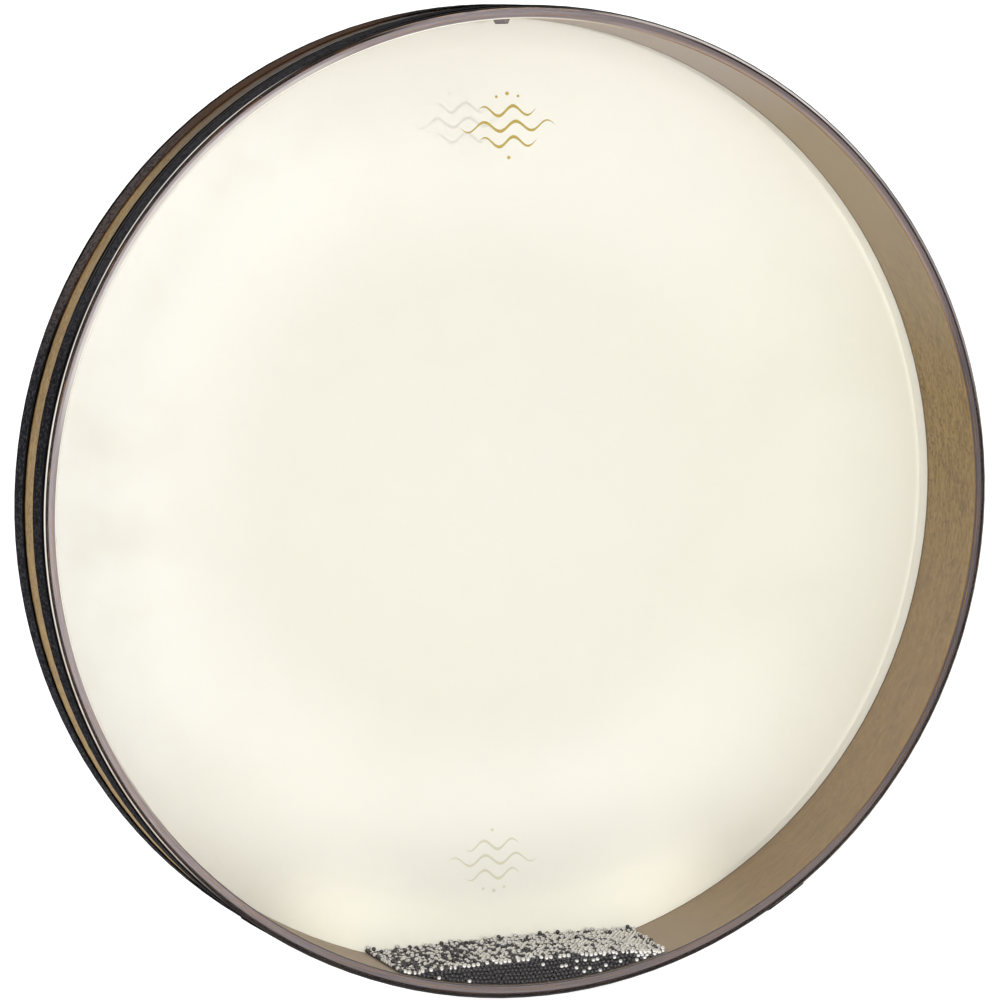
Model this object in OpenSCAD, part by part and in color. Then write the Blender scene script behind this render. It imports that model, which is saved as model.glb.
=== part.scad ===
// Ocean drum: a bent wooden hoop closed by a clear film in front and an ivory head behind,
// bound with two cloth tapes, and holding loose steel shot of two kinds.
// The drum stands upright. Its axis lies along Y, the clear film faces -Y and +Z is up.
// The origin is the middle of the drum.

/* [Shell] */
// Outside diameter of the wooden hoop
shell_od = 558.8; // [400:0.1:700]
// Depth of the wooden hoop along the drum's axis
shell_depth = 67.5; // [60:0.5:110]
// Thickness of the outer ply
outer_ply_t = 2.0; // [1.4:0.1:3]
// Thickness of the core ply
core_ply_t = 2.3; // [1.5:0.1:5]
// Thickness of the inner ply
inner_ply_t = 2.3; // [1.5:0.1:5]
// Radius of the round on the outer edges, over which the heads bend
edge_round = 1.2; // [0.5:0.1:1.3]
// Chamfer on the inner edges
inner_chamfer = 0.5; // [0.2:0.1:1.2]
// Angle from the plug to each end of the outer ply's short strip, which carries the plug's hole
outer_joint_spread = 6; // [3:0.5:12]
// Angle from the plug to each end of the core ply's short strip
core_joint_spread = 7.5; // [3:0.5:12]
// Length of the slanted joint where the two ends of the inner ply meet
scarf_len = 18; // [10:1:40]
// Place of the inner ply's slanted joint, in degrees round from the right
inner_scarf_angle = 128; // [0:4:352]
// Glue line between pieces that are bonded together
glue_gap = 0.04; // [0.02:0.01:0.1]

/* [Heads] */
// Thickness of the clear front film
film_t = 0.25; // [0.2:0.05:0.6]
// Thickness of the ivory back head
back_head_t = 0.25; // [0.2:0.05:0.6]
// Width of the edge that is turned down over the hoop
collar_w = 19; // [10:0.5:21]

/* [Tape] */
// Width of each cloth tape
tape_w = 21.5; // [14:0.5:24]
// Distance from the hoop's rim face to the tape's edge
tape_inset = 1.6; // [1.5:0.1:5]
// Thickness of the cloth tape
tape_t = 0.55; // [0.3:0.05:1]
// Length over which the tape's end laps its start
tape_lap = 26; // [12:1:60]
// Place of the front tape's lap, in degrees round from the right
front_lap_angle = 300; // [280:5:340]
// Place of the back tape's lap, in degrees round from the right
back_lap_angle = 236; // [200:4:260]

/* [Filler plug] */
// Diameter of the plug at the hoop's outer face
plug_d = 11.4; // [8:0.1:14]
// How much thinner the plug is at the inner face
plug_taper = 0.8; // [0.3:0.1:2]
// Diameter of the plug's bevelled tip
plug_tip_d = 7.2; // [4:0.1:7.8]
// How far the plug stands into the drum
plug_reach = 3.3; // [1.5:0.1:8]
// How far the plug's outer end lies below the hoop's face
plug_sink = 0.2; // [0.1:0.1:0.6]
// Radial gap round the plug
plug_clear = 0.04; // [0.02:0.01:0.1]
// Lean of the plug from straight up, in degrees to the right
plug_lean = 0.5; // [-5:0.25:5]

/* [Shot] */
// Diameter of the dark shot
dark_d = 2.5; // [2:0.1:4]
// Diameter of the bright shot
bright_d = 2.8; // [2:0.1:4]
// Height of the settled heap at its middle
heap_h = 15.8; // [10:0.1:40]
// How much higher the heap lies at its middle than at its two ends
heap_crown = 2.2; // [0.5:0.1:6]
// Running gap between the heap and the walls round it
heap_clear = 0.3; // [0.2:0.05:0.6]
// Gap between neighbouring balls
ball_gap = 0.06; // [0.03:0.01:0.2]
// Spacing of the balls that show through the film
front_pitch = 3.2; // [2.8:0.1:12]
// Spacing of the balls that lie on top of the heap
top_pitch = 6.4; // [4.5:0.1:12]
// Share of bright balls on top at the heap's left end
bright_share_left = 0.4; // [0:0.05:1]
// Share of bright balls on top at the heap's right end
bright_share_right = 0.95; // [0:0.05:1]

/* [Hidden] */

wood_brown = "#9a8259";
inner_brown = "#94794f";
edge_grey = "#8d8284";
tape_black = "#1b1b1f";
film_clear = [0.93, 0.95, 0.95, 0.35];
ivory = "#f1edda";
plug_grey = "#7d7276";
shot_dark = "#4a4548";
shot_bright = "#d9d6cc";

// Facets of round things on screen; the solids themselves stay true curves
fine = 240;
medium = 48;
ball_fn = 20;

shell_r = shell_od / 2;
core_r = shell_r - outer_ply_t - glue_gap;
inner_r = core_r - core_ply_t - glue_gap;
bore_r = inner_r - inner_ply_t;
half_depth = shell_depth / 2;

// The heads bend round the hoop's edge and run down its outside under the tape
head_seat_r = shell_r + glue_gap;
front_outer_r = head_seat_r + film_t;
back_outer_r = head_seat_r + back_head_t;
bend_r = edge_round + glue_gap;
collar_start = half_depth - edge_round;

// A tape's edge stops a little short of the bend, which stays bare
tape_start = half_depth - tape_inset;
front_tape_r = front_outer_r + glue_gap;
back_tape_r = back_outer_r + glue_gap;

// One overrun serves all cuts, and a longer one the slanted ends of the inner ply
cut_over = 1;
scarf_over = 6;

// The plug's hole passes the three plies between the two tapes
plug_inner_d = plug_d - plug_taper;
plug_wall = shell_r - bore_r;
plug_slope = plug_taper / (2 * plug_wall);

// The heap fills the bottom of the bore between the two heads
heap_r = bore_r - heap_clear;
heap_front = -(half_depth - heap_clear);
heap_back = half_depth - heap_clear;
heap_top = -bore_r + heap_h;
front_ball_y = heap_front + dark_d / 2;
bed_front = front_ball_y + dark_d / 2 + ball_gap;
bed_depth = heap_back - bed_front;
bed_top = heap_top - bright_d - ball_gap;
row_step = front_pitch * sin(60);
heap_half_w = sqrt(heap_r * heap_r - pow(heap_top - heap_crown, 2));
top_row_step = top_pitch * sin(60);
top_seed = 22;

// Turns a piece made round local Z so that its axis lies along Y, local +Z towards the front
module about_drum_axis() {
    rotate([90, 0, 0]) children();
}

// A plain ply's section, from its outer radius and its thickness
module ply_section(r, t) {
    translate([r - t, -half_depth]) square([t, shell_depth]);
}

// The outer ply's section, rounded where the heads bend over it
module outer_ply_section() {
    corner = [shell_r - edge_round, half_depth - edge_round];
    difference() {
        ply_section(shell_r, outer_ply_t);
        for (side = [-1, 1])
            scale([1, side])
                difference() {
                    translate(corner) square([edge_round + cut_over, edge_round + cut_over]);
                    translate(corner) circle(r = edge_round, $fn = medium);
                }
    }
}

// The inner ply's section, bevelled at its inner edges
module inner_ply_section() {
    polygon([
        [inner_r, -half_depth],
        [inner_r, half_depth],
        [bore_r + inner_chamfer, half_depth],
        [bore_r, half_depth - inner_chamfer],
        [bore_r, -half_depth + inner_chamfer],
        [bore_r + inner_chamfer, -half_depth]
    ]);
}

// The two thin square gaps at the ends of a ply's short strip, on both sides of the plug
module strip_cuts(r, t, spread) {
    for (side = [-1, 1])
        rotate([0, 0, 90 - plug_lean + side * spread])
            translate([r - t / 2, 0, 0])
                cube([t + 2 * cut_over, glue_gap, shell_depth + 2 * cut_over], center = true);
}

// The thin slanted gap between the inner ply's two ends
module scarf_cut(r, t, angle) {
    slab = sqrt(scarf_len * scarf_len + t * t) + 2 * scarf_over;
    rotate([0, 0, angle])
        translate([r - t / 2, 0, 0])
            rotate([0, 0, atan(t / scarf_len)])
                cube([glue_gap, slab, shell_depth + 2 * cut_over], center = true);
}

// The tapered hole that the plug fills
module plug_hole() {
    over_r = plug_slope * cut_over;
    rotate([0, plug_lean, 0])
        translate([0, 0, bore_r - cut_over])
            cylinder(r1 = plug_inner_d / 2 - over_r + plug_clear,
                     r2 = plug_d / 2 + over_r + plug_clear,
                     h = plug_wall + 2 * cut_over, $fn = medium);
}

module shell_outer_ply() {
    color(wood_brown)
    difference() {
        about_drum_axis()
            difference() {
                rotate_extrude($fn = fine) outer_ply_section();
                strip_cuts(shell_r, outer_ply_t, outer_joint_spread);
            }
        plug_hole();
    }
}

module shell_core_ply() {
    color(edge_grey)
    difference() {
        about_drum_axis()
            difference() {
                rotate_extrude($fn = fine) ply_section(core_r, core_ply_t);
                strip_cuts(core_r, core_ply_t, core_joint_spread);
            }
        plug_hole();
    }
}

module shell_inner_ply() {
    color(inner_brown)
    difference() {
        about_drum_axis()
            difference() {
                rotate_extrude($fn = fine) inner_ply_section();
                scarf_cut(inner_r, inner_ply_t, inner_scarf_angle);
            }
        plug_hole();
    }
}

// A head's flat skin, lying on top of the hoop at local +Z as far as the round on its edge
module head_skin(t) {
    translate([0, 0, half_depth + glue_gap])
        cylinder(r = shell_r - edge_round, h = t, $fn = fine);
}

// A head's edge: the bend over the hoop's round, then the part turned down along its outside
module head_collar(t) {
    rotate_extrude($fn = fine) {
        translate([head_seat_r, collar_start - collar_w]) square([t, collar_w]);
        intersection() {
            translate([shell_r - edge_round, collar_start]) square([bend_r + t, bend_r + t]);
            translate([shell_r - edge_round, collar_start])
                difference() {
                    circle(r = bend_r + t, $fn = medium);
                    circle(r = bend_r, $fn = medium);
                }
        }
    }
}

module front_head() {
    color(film_clear) about_drum_axis() head_skin(film_t);
}

module front_head_collar() {
    color(film_clear) about_drum_axis() head_collar(film_t);
}

module back_head() {
    color(ivory) about_drum_axis() mirror([0, 0, 1]) head_skin(back_head_t);
}

module back_head_collar() {
    color(ivory) about_drum_axis() mirror([0, 0, 1]) head_collar(back_head_t);
}

// A band of tape, and the stretch where its end laps its start
module tape_band(r, lap_angle) {
    lap_deg = tape_lap / r * 180 / PI;
    translate([0, 0, tape_start - tape_w]) {
        difference() {
            cylinder(r = r + tape_t, h = tape_w, $fn = fine);
            translate([0, 0, -cut_over]) cylinder(r = r, h = tape_w + 2 * cut_over, $fn = fine);
        }
        rotate([0, 0, lap_angle])
            rotate_extrude(angle = lap_deg, $fn = fine)
                translate([r + tape_t / 2, 0]) square([tape_t * 3 / 2, tape_w]);
    }
}

module front_tape() {
    color(tape_black) about_drum_axis() tape_band(front_tape_r, front_lap_angle);
}

module back_tape() {
    color(tape_black) about_drum_axis() mirror([0, 0, 1]) tape_band(back_tape_r, back_lap_angle);
}

// The plug: a tapered shank in the hoop and a bevelled tip inside the drum
module filler_plug() {
    color(plug_grey)
    rotate([0, plug_lean, 0])
        union() {
            translate([0, 0, bore_r])
                cylinder(r1 = plug_inner_d / 2, r2 = plug_d / 2 - plug_slope * plug_sink,
                         h = plug_wall - plug_sink, $fn = medium);
            translate([0, 0, bore_r - plug_reach])
                cylinder(r1 = plug_tip_d / 2, r2 = plug_inner_d / 2, h = plug_reach, $fn = medium);
        }
}

// The bed's crowned upper face as a line of points across the drum, and its height at any place
bed_profile = [for (i = [-2 : 2]) [heap_half_w * i / 2, bed_top - heap_crown * i * i / 4]];
function bed_top_at(x) = lookup(x, bed_profile);

// The unseen shot inside the heap, as one solid with the heap's own shape
module shot_bed() {
    under = -heap_r - cut_over;
    color(shot_dark)
    translate([0, heap_back, 0])
        rotate([90, 0, 0])
            intersection() {
                cylinder(r = heap_r, h = bed_depth, $fn = fine);
                translate([0, 0, -cut_over])
                    linear_extrude(height = bed_depth + 2 * cut_over)
                        polygon(concat(bed_profile, [[heap_half_w, under], [-heap_half_w, under]]));
            }
}

// Places of the balls that show through the film, row on row in a close packing
front_rows = floor((heap_h - heap_clear - dark_d) / row_step);
front_cols = ceil(heap_half_w / front_pitch);
front_places = [
    for (row = [0 : front_rows], col = [-front_cols : front_cols])
        let (z = -heap_r + dark_d / 2 + row * row_step,
             x = (col + (row % 2) / 2) * front_pitch)
        if (norm([x, z]) < heap_r - dark_d / 2 && z < bed_top_at(x) + bright_d - dark_d / 2)
            [x, front_ball_y, z]
];

// Places of the balls that lie on the bed, staggered rows from front to back
top_rows = floor((bed_depth - bright_d) / top_row_step);
top_half_w = heap_half_w;
top_cols = ceil(top_half_w / top_pitch);
top_grid = [
    for (row = [0 : top_rows], col = [-top_cols : top_cols])
        [(col + (row % 2) / 2) * top_pitch, bed_front + bright_d / 2 + row * top_row_step]
];
top_chance = rands(0, 1, len(top_grid), top_seed);
function bright_share_at(x) = bright_share_left
    + (bright_share_right - bright_share_left) * (x + top_half_w) / (2 * top_half_w);
function is_bright(i) = top_chance[i] < bright_share_at(top_grid[i][0]);
function top_ball(i, d) = [top_grid[i][0], top_grid[i][1], bed_top_at(top_grid[i][0]) + d / 2 + ball_gap];
function is_inside(p, d) = norm([p[0], p[2]]) < heap_r - d / 2;

module ball(place, d) {
    translate(place) sphere(r = d / 2, $fn = ball_fn);
}

module dark_shot() {
    color(shot_dark) {
        for (place = front_places) ball(place, dark_d);
        for (i = [0 : len(top_grid) - 1])
            if (!is_bright(i) && is_inside(top_ball(i, dark_d), dark_d))
                ball(top_ball(i, dark_d), dark_d);
    }
}

module bright_shot() {
    color(shot_bright)
    for (i = [0 : len(top_grid) - 1])
        if (is_bright(i) && is_inside(top_ball(i, bright_d), bright_d))
            ball(top_ball(i, bright_d), bright_d);
}

shell_outer_ply();
shell_core_ply();
shell_inner_ply();
front_head();
front_head_collar();
back_head();
back_head_collar();
front_tape();
back_tape();
filler_plug();
shot_bed();
dark_shot();
bright_shot();
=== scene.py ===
import math

import bpy
import numpy as np
from mathutils import Matrix, Vector


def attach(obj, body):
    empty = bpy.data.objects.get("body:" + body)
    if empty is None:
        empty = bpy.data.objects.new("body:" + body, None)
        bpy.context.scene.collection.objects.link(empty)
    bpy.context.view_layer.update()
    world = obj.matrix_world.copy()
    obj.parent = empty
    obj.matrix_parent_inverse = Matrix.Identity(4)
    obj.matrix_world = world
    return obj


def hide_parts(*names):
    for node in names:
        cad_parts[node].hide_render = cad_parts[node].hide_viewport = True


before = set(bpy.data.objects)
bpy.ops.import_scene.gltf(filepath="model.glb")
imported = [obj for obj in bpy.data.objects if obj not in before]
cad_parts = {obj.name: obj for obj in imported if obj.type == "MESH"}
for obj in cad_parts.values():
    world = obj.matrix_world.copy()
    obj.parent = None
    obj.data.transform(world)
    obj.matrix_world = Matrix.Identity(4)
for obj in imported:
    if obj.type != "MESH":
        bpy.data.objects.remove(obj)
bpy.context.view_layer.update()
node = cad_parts

MM = 0.001

# Main sizes of the drum in the CAD model, in mm: radii from the drum's axis, depths from its middle
BORE_R = 272.72  # the hoop's inside
INNER_R = 275.02  # the inner ply's outside
CORE_R = 277.36  # the core ply's outside
SHELL_R = 279.4  # the hoop's outside
HALF_DEPTH = 33.75  # the hoop's front and back edge
BEND_R = 278.2  # where a head starts to bend over the hoop, and the bend's middle
BEND_Y = 32.55
BEND_IN = 1.24  # the bend's own inner and outer radius
BEND_OUT = 1.49
COLLAR_END = 13.55  # where a head's turned-down edge ends
FILM_INSIDE = 33.79  # the inner face of either head
TAPE_MID = 21.4  # the middle of each tape and half its width
TAPE_HALF = 10.75
TAPE_EDGE = TAPE_MID - TAPE_HALF
HEAP_R = 272.42  # the heap's underside
HEAP_HALF = 33.45  # half its depth
HEAP_TOP = -256.92  # the height of its top in the middle
HEAP_END = 84.1  # half its width at the top
HEAP_CROWN = 2.2  # how much lower the top lies at its ends
DARK_D = 2.5  # the balls' diameters
BRIGHT_D = 2.8


def srgb(code):
    """A colour written as #rrggbb, as the linear numbers that shaders take."""
    parts = [int(code[i:i + 2], 16) / 255 for i in (1, 3, 5)]
    return tuple(c / 12.92 if c <= 0.04045 else ((c + 0.055) / 1.055) ** 2.4 for c in parts) + (1.0,)


OPEN_SIDE = (-0.15, -0.84, 0.52)  # the way that the heap's open side faces: up and to the clear head


class Nodes:
    """A material's node tree, with short calls for the nodes that the patterns use."""

    def __init__(self, name, tree=None):
        if tree is None:
            self.material = bpy.data.materials.new(name)
            self.material.use_nodes = True
            tree = self.material.node_tree
        self.tree = tree
        tree.nodes.clear()

    def add(self, kind, inputs=None, **settings):
        made = self.tree.nodes.new(kind)
        for key, value in settings.items():
            setattr(made, key, value)
        for key, value in (inputs or {}).items():
            if isinstance(value, bpy.types.NodeSocket):
                self.tree.links.new(value, made.inputs[key])
            else:
                made.inputs[key].default_value = value
        return made

    def math(self, kind, a, b=0.0):
        return self.add("ShaderNodeMath", {0: a, 1: b}, operation=kind).outputs[0]

    def times(self, *shares):
        """The product of these shares."""
        total = shares[0]
        for each in shares[1:]:
            total = self.math("MULTIPLY", total, each)
        return total

    def span(self, value, low, high, start=0.0, end=1.0):
        """A smooth run from start, where the value is low or less, to end, where it is high or more."""
        return self.add("ShaderNodeMapRange", {0: value, 1: low, 2: high, 3: start, 4: end},
                        interpolation_type="SMOOTHSTEP").outputs[0]

    def fall(self, value, low, high):
        """1 below low, 0 above high."""
        return self.span(value, low, high, 1.0, 0.0)

    def between(self, share, start, end):
        """A share from 0 to 1 turned into a number from start to end."""
        return self.span(share, 0.0, 1.0, start, end)

    def band(self, value, low, high, soft):
        """1 between low and high, 0 outside, with soft edges."""
        rise = self.span(value, low - soft, low + soft)
        return self.times(rise, self.fall(value, high - soft, high + soft))

    def mix(self, share, a, b):
        """The colour a where the share is 0, b where it is 1; either may be written as #rrggbb."""
        a, b = (srgb(each) if isinstance(each, str) else each for each in (a, b))
        return self.add("ShaderNodeMix", {"Factor": share, 6: a, 7: b}, data_type="RGBA").outputs[2]

    def over(self, color, code, *shares):
        """The colour with another laid over it, as much as the product of these shares says."""
        return self.mix(self.times(*shares), color, code)

    def noise(self, vector, scale, detail, rough, w=None):
        inputs = {"Vector": vector, "Scale": scale, "Detail": detail, "Roughness": rough}
        if w is not None:
            inputs["W"] = w
        return self.add("ShaderNodeTexNoise", inputs, noise_dimensions="3D" if w is None else "4D").outputs[0]

    def place(self):
        """Sets the coordinates in the drum's frame, in mm: the point, its x, y and z, its radius about the
        axis, the cosine and sine of its angle, and its depth either way from the middle."""
        coordinates = self.add("ShaderNodeTexCoord")
        raw, self.normal = coordinates.outputs["Object"], coordinates.outputs["Normal"]
        point = self.add("ShaderNodeVectorMath", {0: raw, 1: (1 / MM,) * 3}, operation="MULTIPLY").outputs[0]
        apart = self.add("ShaderNodeSeparateXYZ", {0: point})
        x, y, z = apart.outputs
        flat = self.add("ShaderNodeCombineXYZ", {0: x, 1: 0.0, 2: z}).outputs[0]
        radius = self.add("ShaderNodeVectorMath", {0: flat}, operation="LENGTH").outputs["Value"]
        self.point, self.x, self.y, self.z, self.r = point, x, y, z, radius
        self.cos = self.math("DIVIDE", x, radius)
        self.sin = self.math("DIVIDE", z, radius)
        self.depth = self.math("ABSOLUTE", y)
        return self

    def streaks(self, across, length, detail, rough, seed):
        """Noise drawn out along the hoop, in streaks this wide and long, in mm."""
        turns = SHELL_R / length
        vector = self.add("ShaderNodeCombineXYZ", {
            0: self.math("DIVIDE", self.y, across),
            1: self.math("DIVIDE", self.r, across),
            2: self.times(self.cos, turns)}).outputs[0]
        w = self.math("ADD", self.times(self.sin, turns), seed)
        return self.noise(vector, 1.0, detail, rough, w)

    def toward(self, degrees, low, high):
        """1 on the side of the drum that lies at this angle (0 right, 90 top), 0 away from it; low and high
        are the cosines of the turns from there at which it is 0 and 1."""
        a = math.radians(degrees)
        lean = self.math("ADD", self.times(self.cos, math.cos(a)), self.times(self.sin, math.sin(a)))
        return self.span(lean, low, high)

    def openness(self):
        """1 where a ball's surface faces the open side of the heap, 0 or less down between the balls; the
        balls' painted shade and highlights follow it.
        """
        return self.add("ShaderNodeVectorMath", {0: self.normal, 1: OPEN_SIDE},
                        operation="DOT_PRODUCT").outputs["Value"]

    def bump(self, height, strength, distance):
        inputs = {"Height": height, "Strength": strength, "Distance": distance}
        return self.add("ShaderNodeBump", inputs).outputs[0]

    def principled(self, **sockets):
        names = {"color": "Base Color", "rough": "Roughness", "metal": "Metallic", "normal": "Normal",
                 "specular": "Specular IOR Level", "tint": "Specular Tint", "subsurface": "Subsurface Weight",
                 "sub_scale": "Subsurface Scale", "sub_radius": "Subsurface Radius", "glow": "Emission Color",
                 "glow_strength": "Emission Strength"}
        return self.add("ShaderNodeBsdfPrincipled", {names[k]: v for k, v in sockets.items()})

    def finish(self, shader):
        self.add("ShaderNodeOutputMaterial", {"Surface": shader.outputs[0]})
        return self.material


def wood_wall(n, light, mid, dark, seed):
    """Veneer with its grain round the hoop, in three browns: its colour, roughness and bump height."""
    broad = n.streaks(9.0, 30.0, 3.0, 0.6, seed)
    fibres = n.streaks(2.6, 5.5, 3.0, 0.6, seed + 3)
    hairs = n.streaks(0.7, 9.0, 3.0, 0.7, seed + 5)
    pores = n.streaks(2.2, 2.4, 2.0, 0.6, seed + 7)
    color = n.mix(n.span(broad, 0.3, 0.6, 0.45, 1.0), dark, mid)
    color = n.mix(n.times(n.span(fibres, 0.45, 0.6), 0.62), color, light)
    color = n.mix(n.times(n.span(hairs, 0.5, 0.72), 0.3), color, light)
    grey = n.span(n.noise(n.point, 0.16, 4.0, 0.7), 0.5, 0.72)
    color = n.over(color, "#8a7664", grey, 0.3)
    specks = n.span(pores, 0.52, 0.62)
    color = n.mix(n.times(specks, 0.62), color, dark)
    sparks = n.span(n.noise(n.point, 0.6, 2.0, 0.6), 0.66, 0.74)
    color = n.over(color, "#bca685", sparks, 0.4)
    rough = n.span(fibres, 0.3, 0.7, 0.45, 0.62)
    height = n.math("SUBTRACT", hairs, n.times(specks, 0.4))
    return color, rough, height


def rim_edge(n, seed):
    """The plies' sawn edges at the hoop's front and back, with painted light on the left and below and
    painted shade on the right: colour and bump height.
    """
    long_ones = n.streaks(0.5, 60.0, 3.0, 0.65, seed)
    short_ones = n.streaks(0.35, 9.0, 3.0, 0.65, seed + 5)
    # painted light: the edges are painted lighter towards the left and, less, towards the bottom
    painted_light_side = n.math("MAXIMUM", n.math("POWER", n.toward(158.0, -1.1, 1.05), 1.2),
                 n.times(n.toward(265.0, 0.4, 1.0), 0.5))
    base = n.mix(painted_light_side, "#544c50", "#a69c9d")
    shade = n.mix(painted_light_side, "#3e373b", "#877c80")
    color = n.mix(n.span(long_ones, 0.36, 0.64), shade, base)
    color = n.mix(n.times(n.span(short_ones, 0.4, 0.62), 0.35), color, shade)
    warm = n.times(n.span(short_ones, 0.48, 0.62), n.span(long_ones, 0.46, 0.6),
                   n.between(n.toward(262.0, 0.3, 0.9), 0.4, 0.75))
    color = n.over(color, "#8a6746", warm)
    # the inner and the core ply part in tone at the upper right
    halves = n.mix(n.span(n.r, INNER_R - 0.12, INNER_R + 0.48), "#998c8b", "#6b6165")
    color = n.mix(n.times(n.toward(50.0, 0.8, 0.95), n.span(long_ones, 0.3, 0.6, 0.5, 0.9)), color, halves)
    # at the upper left the inner half is painted pale: a painted sheen
    painted_rim_sheen = n.times(n.toward(140.0, 0.84, 0.95), n.fall(n.r, INNER_R + 0.18, INNER_R + 0.88),
                   n.span(long_ones, 0.25, 0.6, 0.55, 0.95))
    color = n.over(color, "#d2cdca", painted_rim_sheen)
    # the glue between the inner and the core ply runs as a broken orange line
    line = n.times(n.band(n.r, INNER_R - 0.25, INNER_R + 0.35, 0.2),
                   n.span(n.streaks(2.0, 24.0, 2.0, 0.6, 31.0), 0.36, 0.56),
                   n.span(painted_rim_sheen, 0.0, 0.3, 0.7, 0.15))
    return n.mix(line, color, n.mix(painted_light_side, "#8a5f2c", "#a08264")), long_ones


def outer_wood():
    n = Nodes("outer_wood").place()
    color, rough, height = wood_wall(n, "#b39869", "#977c4f", "#745b34", 1.0)
    # painted shade darkens the veneer over the top; beside the tapes it is darker too, from dirt and glue and
    # from painted shadow of the tape edges
    color = n.over(color, "#3a2b24", n.toward(98.0, 0.72, 0.96), 0.9)
    color = n.over(color, "#150e0b", n.toward(88.0, 0.93, 0.985), 0.9)
    color = n.over(color, "#4f3216", n.span(n.depth, TAPE_EDGE - 1.85, TAPE_EDGE - 0.15), 0.75)
    # at the upper left an orange line runs beside the back tape, and a black line of dirt and painted shadow
    # beside the front tape
    high_left = n.toward(128.0, 0.84, 0.95)
    color = n.over(color, "#8a5a2a", high_left, n.span(n.y, TAPE_EDGE - 2.45, TAPE_EDGE - 1.25))
    color = n.over(color, "#0c0a0a", high_left, n.fall(n.y, -TAPE_EDGE + 1.05, -TAPE_EDGE + 2.45))
    # its front edge is nearly black, with orange streaks
    streak = n.span(n.streaks(0.5, 16.0, 3.0, 0.6, 11.0), 0.52, 0.66)
    warm_side = n.math("ADD", n.toward(150.0, 0.6, 1.0), 0.3)
    edge = n.mix(n.times(streak, warm_side, 0.75), "#20110b", "#8a5a26")
    # and plain under the bend at the top
    plain_edge, _ = rim_edge(n, 81.0)
    plain_here = n.times(n.toward(86.0, 0.93, 0.98), n.fall(n.r, BEND_R + 0.1, BEND_R + 0.6))
    edge = n.mix(plain_here, edge, plain_edge)
    color = n.mix(n.span(n.depth, BEND_Y - 0.4, BEND_Y), color, edge)
    return n.finish(n.principled(color=color, rough=rough, specular=0.05,
                                 normal=n.bump(height, 0.35, 0.0002)))


def core_wood():
    n = Nodes("core_wood").place()
    color, height = rim_edge(n, 21.0)
    # a dark glue line runs along its outside, faint at the top
    color = n.over(color, "#3f2317", n.span(n.r, CORE_R - 0.45, CORE_R - 0.15),
                   n.between(n.toward(86.0, 0.93, 0.98), 0.85, 0.1))
    return n.finish(n.principled(color=color, rough=0.6, specular=0.25, normal=n.bump(height, 0.3, 0.0002)))


def inner_wood():
    n = Nodes("inner_wood").place()
    color, rough, height = wood_wall(n, "#ad9363", "#937a4e", "#665136", 41.0)
    # painted light and sheen make the veneer paler round the top right and the bottom, and grey at the top
    color = n.over(color, "#a99a85", n.toward(52.0, 0.72, 0.98), 0.7)
    color = n.over(color, "#b5aaa4", n.toward(82.0, 0.8, 0.98), 0.85)
    color = n.over(color, "#ad967c", n.toward(312.0, 0.6, 0.98), 0.45)
    color = n.over(color, "#bcab9b", n.toward(262.0, 0.74, 0.98), 0.65)
    # the wall is darker in a line where it meets the back skin
    color = n.over(color, "#5d4632", n.span(n.y, HALF_DEPTH - 2.75, HALF_DEPTH - 1.55, 0.0, 0.7))
    edge, _ = rim_edge(n, 51.0)
    # the bevel at the bore shows bare wood, golden on the right and dark below; on the left it is painted
    # cream as a painted highlight
    bevel_and_highlight = n.mix(n.toward(150.0, 0.1, 0.7), "#8c6c3c", "#fbf8ec")
    bevel_and_highlight = n.over(bevel_and_highlight, "#4a4143", n.toward(262.0, 0.5, 0.85))
    edge = n.mix(n.fall(n.r, BORE_R + 0.5, BORE_R + 0.8), edge, bevel_and_highlight)
    color = n.mix(n.span(n.depth, HALF_DEPTH - 0.4, HALF_DEPTH - 0.3), color, edge)
    return n.finish(n.principled(color=color, rough=rough, specular=0.05,
                                 normal=n.bump(height, 0.35, 0.0002)))


def plug_wood():
    n = Nodes("plug_wood").place()
    spin = n.add("ShaderNodeCombineXYZ", {0: n.x, 1: n.y, 2: n.times(n.z, 0.15)}).outputs[0]
    grain = n.noise(spin, 2.2, 4.0, 0.6)
    color = n.mix(n.span(grain, 0.35, 0.65), "#5f5458", "#8d8386")
    # the bevelled tip inside the drum is darker at its very end
    color = n.over(color, "#33292b", n.span(n.r, BORE_R - 3.12, BORE_R - 2.22, 0.8, 0.0))
    # the head of the plug, flush with the hoop, wears the hoop's brown
    color = n.over(color, "#84694a", n.span(n.r, SHELL_R - 2.4, SHELL_R - 0.8))
    return n.finish(n.principled(color=color, rough=0.5, specular=0.3, normal=n.bump(grain, 0.4, 0.0003)))


THREAD = 0.9  # the pitch of the tape's threads, in mm
HALVES = (-1.0, 1.0)  # the y over which a pattern changes from the drum's front half to its back half


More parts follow.
